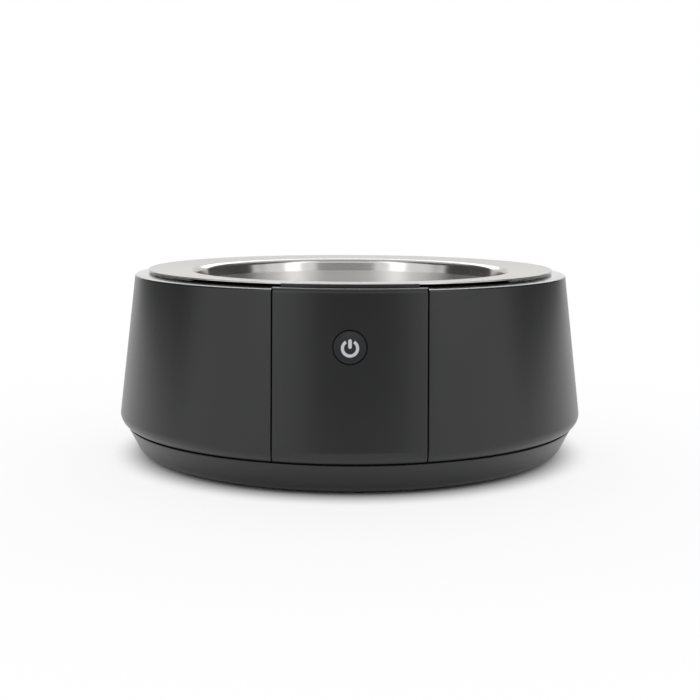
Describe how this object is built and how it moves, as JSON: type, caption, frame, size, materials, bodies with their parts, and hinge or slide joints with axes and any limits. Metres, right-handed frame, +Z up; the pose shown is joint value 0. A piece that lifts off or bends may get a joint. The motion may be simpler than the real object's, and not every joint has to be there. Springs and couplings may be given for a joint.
{
  "type": "pet food bowl",
  "caption": "Round weighing pet food bowl: lift-out steel bowl in a tapered plastic housing with a front panel, power button and base tray.",
  "frame": {"origin": "middle of the underside, at the level the rubber feet rest on", "axes": "+Z up, -Y towards the front panel, +X to the right as seen from the front"},
  "size_m": [0.2096, 0.2096, 0.0833],
  "materials": {
    "bowl_steel": "polished rim, spun and lightly brushed basin",
    "housing_plastic": "fine satin",
    "panel_plastic": "fine satin",
    "button_plastic": "satin, dished",
    "icon_plastic": "translucent, light",
    "inner_plastic": "moulded, plain",
    "dark_rubber": "matte",
    "soft_silicone": "matte",
    "screw_steel": "zinc plated",
    "cell_aluminium": "milled",
    "potting": "white silicone",
    "board": "solder mask",
    "chip_plastic": "moulded",
    "socket_plastic": "moulded",
    "display_plastic": "gloss",
    "battery_sleeve": "film sleeve, plain",
    "contact_metal": "nickel plated",
    "cable_jacket": "matte",
    "wire_red": "matte",
    "wire_black": "matte"
  },
  "bodies": {
    "housing": {"housing_shell": "housing_plastic", "front_panel": "panel_plastic", "power_switch": "chip_plastic", "main_board": "board", "board_screws": "screw_steel", "board_chips": "chip_plastic", "cable_sockets": "socket_plastic", "buzzer": "chip_plastic", "display_module": "display_plastic", "base_tray": "housing_plastic", "tray_seal": "dark_rubber", "rubber_feet": "dark_rubber", "tray_screws": "screw_steel", "load_cell": "cell_aluminium", "gauge_covers": "potting", "load_cell_screws": "screw_steel", "weighing_platform": "inner_plastic", "platform_pads": "soft_silicone", "platform_screws": "screw_steel", "splash_seal": "soft_silicone", "batteries": "battery_sleeve", "battery_ends": "contact_metal", "battery_contacts": "contact_metal", "load_cell_cable": "cable_jacket", "battery_wire_red": "wire_red", "battery_wire_black": "wire_black"},
    "bowl": {"steel_bowl": "bowl_steel"},
    "button": {"power_button": "button_plastic", "button_icon": "icon_plastic", "switch_plunger": "chip_plastic"},
    "door": {"battery_door": "housing_plastic"}
  },
  "joints": [
    {"name": "bowl_lift", "type": "slide", "parent": "housing", "child": "bowl", "axis": [0, 0, 1], "range_m": [0, 0.09]},
    {"name": "button_press", "type": "slide", "parent": "housing", "child": "button", "axis": [0, 0.9925, -0.1219], "range_m": [0, 0.0005], "stiffness_N_per_m": 3000, "springref_m": -0.0002},
    {"name": "battery_door_hinge", "type": "hinge", "parent": "housing", "child": "door", "pos_m": [0, 0.0543, 0.003], "axis": [1, 0, 0], "range_deg": [0, 80]}
  ]
}
